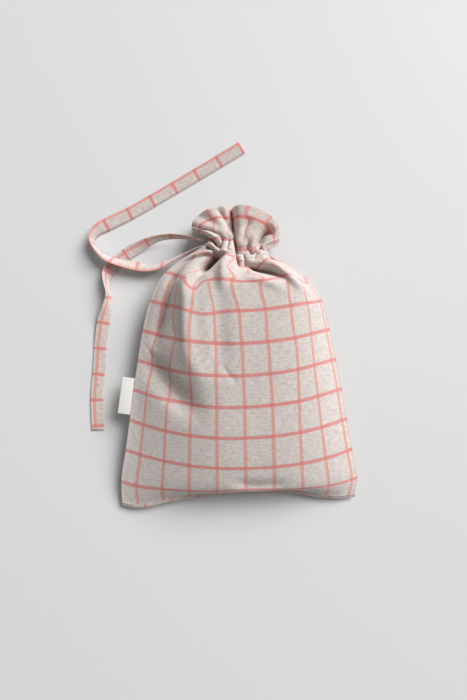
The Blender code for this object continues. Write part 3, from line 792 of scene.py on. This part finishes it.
def label():
    """A thin folded tab with softly rounded edges."""
    place, lean = label_place()
    bm = bmesh.new()
    bmesh.ops.create_cube(bm, size=1.0, calc_uvs=True)
    bmesh.ops.scale(bm, vec=(LABEL_WIDTH * MM, LABEL_LENGTH * MM, LABEL_THICK * MM),
                    verts=bm.verts[:])
    bmesh.ops.bevel(bm, geom=bm.edges[:], offset=LABEL_SOFT * MM, segments=3, profile=0.5,
                    affect="EDGES", material=-1)
    bmesh.ops.rotate(bm, cent=(0, 0, 0), verts=bm.verts[:],
                     matrix=Matrix.Rotation(-lean, 3, "Z"))
    bmesh.ops.translate(bm, vec=(place + STEP) * MM, verts=bm.verts[:])
    for face in bm.faces:
        face.smooth = True
    return to_piece(bm, "label_tab")


tab = label()
print("the label leans", round(math.degrees(label_place()[1]), 1), "degrees with its seam")

# %% [markdown]
# ## Colours, and one function for every node
#
# Colours are picked on a screen, and a shader counts light, so one function turns the first
# into the second. Every material is a small net of nodes. A net can be drawn by hand in the
# editor, but a script keeps the sizes in it readable. One function adds any node, and an input
# is either a value or the socket of another node.

# %% Colours, and one function for every node
def linear(hex_colour):
    """A display colour as the linear values that a shader takes."""
    parts = [int(hex_colour[i:i + 2], 16) / 255 for i in (0, 2, 4)]
    return [p / 12.92 if p <= 0.04045 else ((p + 0.055) / 1.055) ** 2.4 for p in parts] + [1.0]


def add(tree, kind, inputs, out=0, **settings):
    """Adds a shader node with its settings and links, and gives one of its sockets."""
    node = tree.nodes.new("ShaderNode" + kind)
    for name, value in settings.items():
        setattr(node, name, value)
    for key, value in inputs.items():
        if isinstance(value, bpy.types.NodeSocket):
            tree.links.new(value, node.inputs[key])
        else:
            node.inputs[key].default_value = value
    return node.outputs[out]


print("middle grey on the screen is", round(linear("808080")[0], 3), "of the light of white")

# %% [markdown]
# ## Threads that cross
#
# The cloth is a plain weave of undyed flax. At every crossing either the upright or the level
# thread is on top, in turns, like a chequerboard. An image texture would have to be very large
# to cover the bag this finely, and two sine waves do it at any size: where their product is
# high the level thread is on top, and where it's low the upright one.

# %% Threads that cross
THREAD = 1.0              # drawn spacing; the real 0.7 mm is too fine to show, so it's coarser


def crossings(tree, across, up):
    """Goes between 1, where the level thread is on top, and -1, where the upright one is."""
    waves = []
    for along in (across, up):
        angle = add(tree, "Math", {0: along, 1: math.pi / THREAD / MM}, operation="MULTIPLY")
        waves.append(add(tree, "Math", {0: angle}, operation="SINE"))
    return add(tree, "Math", {0: waves[0], 1: waves[1]}, operation="MULTIPLY")


print("each panel shows", round(CLOTH_WIDTH / THREAD), "threads across")

# %% [markdown]
# ## Slubs
#
# Flax thread is uneven, thick here and thin there, and those slubs are the streakiness which
# tells linen from cotton. Noise that is stretched along the thread draws them, once for each
# way of the weave. The level threads are the more uneven ones.

# %% Slubs
SLUB_LONG = 7.69          # usual length of a thick place
SLUB_WIDE = SLUB_LONG / 4     # two threads wide as drawn, since a single one is too fine to show
LEVEL_SLUBS = 0.65        # share of the streaks that run level


def slubs(tree, place):
    """Streaks from 0 to 1 along both ways of the weave."""
    streaks = []
    for size in ((SLUB_WIDE, SLUB_LONG), (SLUB_LONG, SLUB_WIDE)):
        counts = (1 / size[0] / MM, 1 / size[1] / MM, 0)
        stretched = add(tree, "VectorMath", {0: place, 1: counts}, operation="MULTIPLY")
        streaks.append(add(tree, "TexNoise", {"Vector": stretched, "Scale": 1.0, "Detail": 3.0}))
    upright = add(tree, "Math", {0: streaks[0], 1: 1 - LEVEL_SLUBS}, operation="MULTIPLY")
    return add(tree, "Math", {0: streaks[1], 1: LEVEL_SLUBS, 2: upright},
               operation="MULTIPLY_ADD")


print("a slub is", SLUB_LONG, "mm long and", round(SLUB_WIDE, 1), "mm wide")

# %% [markdown]
# ## The check's stripes
#
# Measured on the flat cloth, that is one stripe per repeat, both ways. The Ping-pong maths of a
# Math node folds the cloth's measure back and forth, so a single comparison draws all the
# stripes at once.

# %% The check's stripes
CHECK_ACROSS = 34.0       # one repeat across the cloth
CHECK_UP = 36.6
FIRST_ACROSS = 20.0       # the first upright stripe, from the left seam
FIRST_UP = 25.0           # the first level stripe, from the bottom seam
BACK_SHIFT = 10.0         # the back was cut with its stripes this far to the right
STRIPE_HALF = 2.1         # half the width of a stripe
STRIPE_SOFT = 0.7         # its edge is soft over one real thread


def stripe(tree, along, first, pitch, half):
    """1 inside a repeating stripe and 0 outside, with a soft edge."""
    shifted = add(tree, "Math", {0: along, 1: (first - pitch / 2) * MM}, operation="SUBTRACT")
    inside = add(tree, "Math", {0: shifted, 1: pitch / 2 * MM}, operation="PINGPONG")
    return add(tree, "Math", {0: inside, 1: 1 / (STRIPE_SOFT * MM),
                              2: 0.5 - (pitch / 2 - half) / STRIPE_SOFT},
               operation="MULTIPLY_ADD", use_clamp=True)


print(int((CLOTH_WIDTH - FIRST_ACROSS) / CHECK_ACROSS) + 1, "stripes stand across the front and",
      int((CLOTH_LENGTH - FIRST_UP) / CHECK_UP) + 1, "lie up it")

# %% [markdown]
# ## The colours of the cloth
#
# In a plain weave a coloured stripe is never solid: it's a row of coloured crossings between
# natural ones, and it's paler where the coloured thread dips under. So each stripe covers the
# natural cloth by a share, which is less where the other thread is on top. The slubs darken the
# natural cloth, and a broad soft noise leaves it a little cloudy, as washing does.

# %% The colours of the cloth
NATURAL = "E6DBD6"        # undyed flax, washed
NATURAL_DARK = "AEA29C"
UPRIGHT_STRIPE = "E0978A"
LEVEL_STRIPE = "DF7F7A"
STITCH_SHADE = "8A7F76"
UPRIGHT_COVER = 0.92      # how much of the natural cloth a stripe covers
LEVEL_COVER = 0.94
DIP_LOSS = 0.3            # and how much of that is lost where its threads dip under
SLUB_START = 0.36         # the streaks darken the cloth from here up
SLUB_GAIN = 2.0
STITCH_HALF = 0.35        # half the width of a line of stitches
STITCH_COVER = 0.6
ONCE = 100.0              # a repeat that is wider than the strip, so its line comes once
SOFT_PATCH = 22.2         # size of the clouds and creases that washing leaves
CLOUD_GAIN = 0.16


def linen_colour(tree, place, crossing, slub, upright, level, half, stitched):
    """Natural cloth with its slubs, the check over it and, on the strip, a line of stitches."""
    across = add(tree, "SeparateXYZ", {0: place}, "X")
    up = add(tree, "SeparateXYZ", {0: place}, "Y")
    above = add(tree, "Math", {0: slub, 1: SLUB_START}, operation="SUBTRACT")
    darkness = add(tree, "Math", {0: above, 1: SLUB_GAIN}, operation="MULTIPLY")
    cloth = add(tree, "Mix", {0: darkness, 6: linear(NATURAL), 7: linear(NATURAL_DARK)}, 2,
                data_type="RGBA")
    for along, repeat, tint, cover, sign in ((across, upright, UPRIGHT_STRIPE, UPRIGHT_COVER, 1),
                                             (up, level, LEVEL_STRIPE, LEVEL_COVER, -1)):
        worn = add(tree, "Math", {0: crossing, 1: -sign * DIP_LOSS / 2, 2: cover - DIP_LOSS / 2},
                   operation="MULTIPLY_ADD")
        share = add(tree, "Math", {0: stripe(tree, along, *repeat, half), 1: worn},
                    operation="MULTIPLY")
        cloth = add(tree, "Mix", {0: share, 6: cloth, 7: linear(tint)}, 2, data_type="RGBA")
    if stitched is not None:
        line = stripe(tree, across, stitched, ONCE, STITCH_HALF)
        share = add(tree, "Math", {0: line, 1: STITCH_COVER}, operation="MULTIPLY")
        cloth = add(tree, "Mix", {0: share, 6: cloth, 7: linear(STITCH_SHADE)}, 2,
                    data_type="RGBA")
    clouds = add(tree, "TexNoise", {"Vector": place, "Scale": 1 / SOFT_PATCH / MM,
                                    "Detail": 2.0})
    share = add(tree, "Math", {0: clouds, 1: CLOUD_GAIN}, operation="MULTIPLY")
    return add(tree, "Mix", {0: share, 6: cloth, 7: linear(NATURAL_DARK)}, 2, data_type="RGBA")


print("a stripe shows", round(100 * (LEVEL_COVER - DIP_LOSS)), "to", round(100 * LEVEL_COVER),
      "% of its colour")

# %% [markdown]
# ## Linen
#
# Linen is matt, with short fibres standing off it. Light sinks into the fibres and comes out
# again close by, redder than it went in, and a rough diffuse surface keeps the steep sides of
# the folds from going dark. The threads and slubs also stand up a little, and washed linen is
# never ironed flat. Real displacement would need a mesh finer than the threads, so two bumps
# bend the light instead: a fine one for the weave, and a broad one for the small creases.

# %% Linen
LINEN_SURFACE = {
    "Diffuse Roughness": 1.0,
    "Roughness": 0.88,                   # no shine, even at a low angle
    "Specular IOR Level": 0.25,
    "Subsurface Weight": 0.45,           # the soft glow of thin folds
    "Subsurface Radius": (1.0, 0.38, 0.2),
    "Subsurface Scale": 2.4 * MM,
    "Sheen Weight": 0.12,                # the pale rim of standing fibres
    "Sheen Roughness": 0.5,
}
WEAVE_RELIEF = 0.25       # share of the fine bump that the crossings take
SLUB_RELIEF = 0.9
WEAVE_HEIGHT = 0.35       # half a thread
WEAVE_STRENGTH = 0.35
CREASE_HEIGHT = 2.0
CREASE_STRENGTH = 0.14


def linen(name, upright, level, half, stitched=None):
    """Plain-woven linen with a coloured check, drawn on the cloth's own map."""
    material = bpy.data.materials.new(name)
    material.use_nodes = True
    tree = material.node_tree
    shader = tree.nodes["Principled BSDF"]
    for key, value in LINEN_SURFACE.items():
        shader.inputs[key].default_value = value
    place = add(tree, "UVMap", {}, uv_map="cloth")
    across = add(tree, "SeparateXYZ", {0: place}, "X")
    up = add(tree, "SeparateXYZ", {0: place}, "Y")
    crossing = crossings(tree, across, up)
    slub = slubs(tree, place)
    colour = linen_colour(tree, place, crossing, slub, upright, level, half, stitched)
    tree.links.new(colour, shader.inputs["Base Color"])

    streaks = add(tree, "Math", {0: slub, 1: SLUB_RELIEF}, operation="MULTIPLY")
    weave = add(tree, "Math", {0: crossing, 1: WEAVE_RELIEF, 2: streaks},
                operation="MULTIPLY_ADD")
    fine = add(tree, "Bump", {"Strength": WEAVE_STRENGTH, "Distance": WEAVE_HEIGHT * MM,
                              "Height": weave})
    creases = add(tree, "TexNoise", {"Vector": place, "Scale": 1 / SOFT_PATCH / MM,
                                     "Detail": 3.0, "Roughness": 0.55})
    broad = add(tree, "Bump", {"Strength": CREASE_STRENGTH, "Distance": CREASE_HEIGHT * MM,
                               "Height": creases, "Normal": fine})
    tree.links.new(broad, shader.inputs["Normal"])
    return material


for piece, name, shift in ((front, "linen_front", 0.0), (back, "linen_back", BACK_SHIFT)):
    piece.data.materials.append(linen(name, (FIRST_ACROSS + shift, CHECK_ACROSS),
                                      (FIRST_UP, CHECK_UP), STRIPE_HALF))
print("each panel's linen has", len(front.data.materials[0].node_tree.nodes), "nodes")

# %% [markdown]
# ## The drawstring's linen
#
# The strip was cut from the same cloth along its length. So it carries a bit of the check, one
# stripe that runs along it and short ones across it, and the stitches that close it run beside
# one edge. It's the same linen, then, with places of its own for the stripes.

# %% The drawstring's linen
TIE_UPRIGHT = 6.3         # place of its long stripe, from the middle of the strip
TIE_LEVEL = 1.5           # the first stripe across it, from its end
TIE_REPEAT = 32.0
TIE_STRIPE_HALF = 1.8
TIE_SEAM = -6.6           # place of its stitches, from the middle of the strip

tie.data.materials.append(linen("linen_tie", (TIE_UPRIGHT, ONCE), (TIE_LEVEL, TIE_REPEAT),
                                TIE_STRIPE_HALF, stitched=TIE_SEAM))
print("the strip shows", int((tie_length - TIE_LEVEL) / TIE_REPEAT) + 1, "stripes across it")

# %% [markdown]
# ## The label's twill
#
# The tab is woven from fine white thread in twill, whose ribs run in one direction and catch
# the light a little. A wave texture is a row of such ribs, and a slight distortion keeps them
# from looking ruled. The grooves between the ribs are also painted a little darker, as painted
# shade. It measures in its own unit, which is why the scale needs the 20 below.

# %% The label's twill
TWILL_RIB = 0.898         # one rib and its groove; the real ones are finer than would show
LABEL_WHITE = "EFECE8"
# painted shade: the grooves between the white ribs are drawn this much darker
LABEL_GROOVE_SHADE = "E2DED8"
TWILL_BUMP = 0.1


def label_cloth():
    """Close white twill, without any writing."""
    material = bpy.data.materials.new("label_twill")
    material.use_nodes = True
    tree = material.node_tree
    shader = tree.nodes["Principled BSDF"]
    shader.inputs["Roughness"].default_value = 0.75
    place = add(tree, "TexCoord", {}, "Object")
    ribs = add(tree, "TexWave", {"Vector": place, "Scale": 2 * math.pi / 20 / TWILL_RIB / MM,
                                 "Distortion": 0.4}, "Fac")
    # the ribs' grooves take the painted shade colour, on top of their bump
    tint = add(tree, "Mix", {0: ribs, 6: linear(LABEL_WHITE), 7: linear(LABEL_GROOVE_SHADE)}, 2,
               data_type="RGBA")
    tree.links.new(tint, shader.inputs["Base Color"])
    bump = add(tree, "Bump", {"Strength": 0.3, "Distance": TWILL_BUMP * MM, "Height": ribs})
    tree.links.new(bump, shader.inputs["Normal"])
    return material


tab.data.materials.append(label_cloth())
print("the label has about", round(LABEL_WIDTH / TWILL_RIB), "ribs")

# %% [markdown]
# ## The table
#
# The bag lies on a pale matt table. A single large face is enough, a hair below the cloth so
# that the two never fight over the same place. It's only there to be seen and isn't a part of
# the bag.

# %% The table
TABLE_HALF = 3000.0
TABLE_BELOW = 0.3


def table():
    """A plain pale surface."""
    bm = bmesh.new()
    bmesh.ops.create_grid(bm, x_segments=1, y_segments=1, size=TABLE_HALF * MM)
    bmesh.ops.translate(bm, vec=(0, 0, -TABLE_BELOW * MM), verts=bm.verts[:])
    top = to_piece(bm, "table_top")
    material = bpy.data.materials.new("pale_stone")
    material.use_nodes = True
    shader = material.node_tree.nodes["Principled BSDF"]
    shader.inputs["Base Color"].default_value = linear("DADADA")
    shader.inputs["Roughness"].default_value = 0.6      # honed, so it mirrors nothing
    top.data.materials.append(material)
    return top


print("the table is", round(table().dimensions.x, 1), "m wide")

# %% [markdown]
# ## Light
#
# A bag like this is best seen by a large window: one wide soft light, high up at the upper
# right and far away, so that it's even over the whole bag and each fold has one soft shadow. A
# weak white world stands in for the room, which fills the shadows.

# %% Light
WINDOW_PLACE = (6600.0, 6300.0, 8200.0)
WINDOW_SIZE = 7500.0
WINDOW_POWER = 1990.0     # watts
ROOM_LIGHT = 0.23


def window():
    """A square soft light, turned towards the bag."""
    data = bpy.data.lights.new("window", "AREA")
    data.energy = WINDOW_POWER
    data.size = WINDOW_SIZE * MM
    light = bpy.data.objects.new("window", data)
    bpy.context.scene.collection.objects.link(light)
    light.location = Vector(WINDOW_PLACE) * MM
    light.rotation_euler = (-light.location).to_track_quat("-Z", "Y").to_euler()


def room():
    """Even white light from everywhere."""
    world = bpy.data.worlds.new("room")
    world.use_nodes = True
    background = world.node_tree.nodes["Background"]
    background.inputs["Color"].default_value = (1, 1, 1, 1)
    background.inputs["Strength"].default_value = ROOM_LIGHT
    bpy.context.scene.world = world


window()
room()
print("the window stands", round(math.degrees(math.asin(WINDOW_PLACE[2] / math.dist(
    WINDOW_PLACE, (0, 0, 0))))), "degrees up")

# %% [markdown]
# ## Camera
#
# The camera looks straight down, as one does at a table. The lens is worked out from its height
# and the length of table to be seen. The Standard view keeps the colours as they were picked,
# where a filmic one would grey the linen.

# %% Camera
CAMERA_HEIGHT = 760.0
VIEW_LENGTH = 868.0       # length of table that the view's long side shows
VIEW_MIDDLE = (-5.6, 52.1)
SENSOR = 36.0


def camera():
    """Looks straight down on the table."""
    data = bpy.data.cameras.new("camera")
    data.sensor_width = SENSOR
    data.lens = SENSOR * CAMERA_HEIGHT / VIEW_LENGTH
    eye = bpy.data.objects.new("camera", data)
    bpy.context.scene.collection.objects.link(eye)
    eye.location = (Vector((*VIEW_MIDDLE, CAMERA_HEIGHT)) + STEP) * MM
    bpy.context.scene.camera = eye
    bpy.context.scene.view_settings.view_transform = "Standard"
    return data


print("the lens is", round(camera().lens, 1), "mm long")

# %% [markdown]
# ## Handing over
#
# Each cloth stands for one solid part and rides on the bag's only body, and the solid part that
# it stands for is hidden.

# %% Handing over
for piece, node, slot in ((front, "front_panel", "linen"), (back, "back_panel", "linen"),
                          (tie, "drawstring", "tie_linen"), (tab, "label", "label_cloth")):
    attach(piece, "root")
    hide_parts(node)

print("declared:", ", ".join(piece.name for piece in (front, back, tie, tab)))
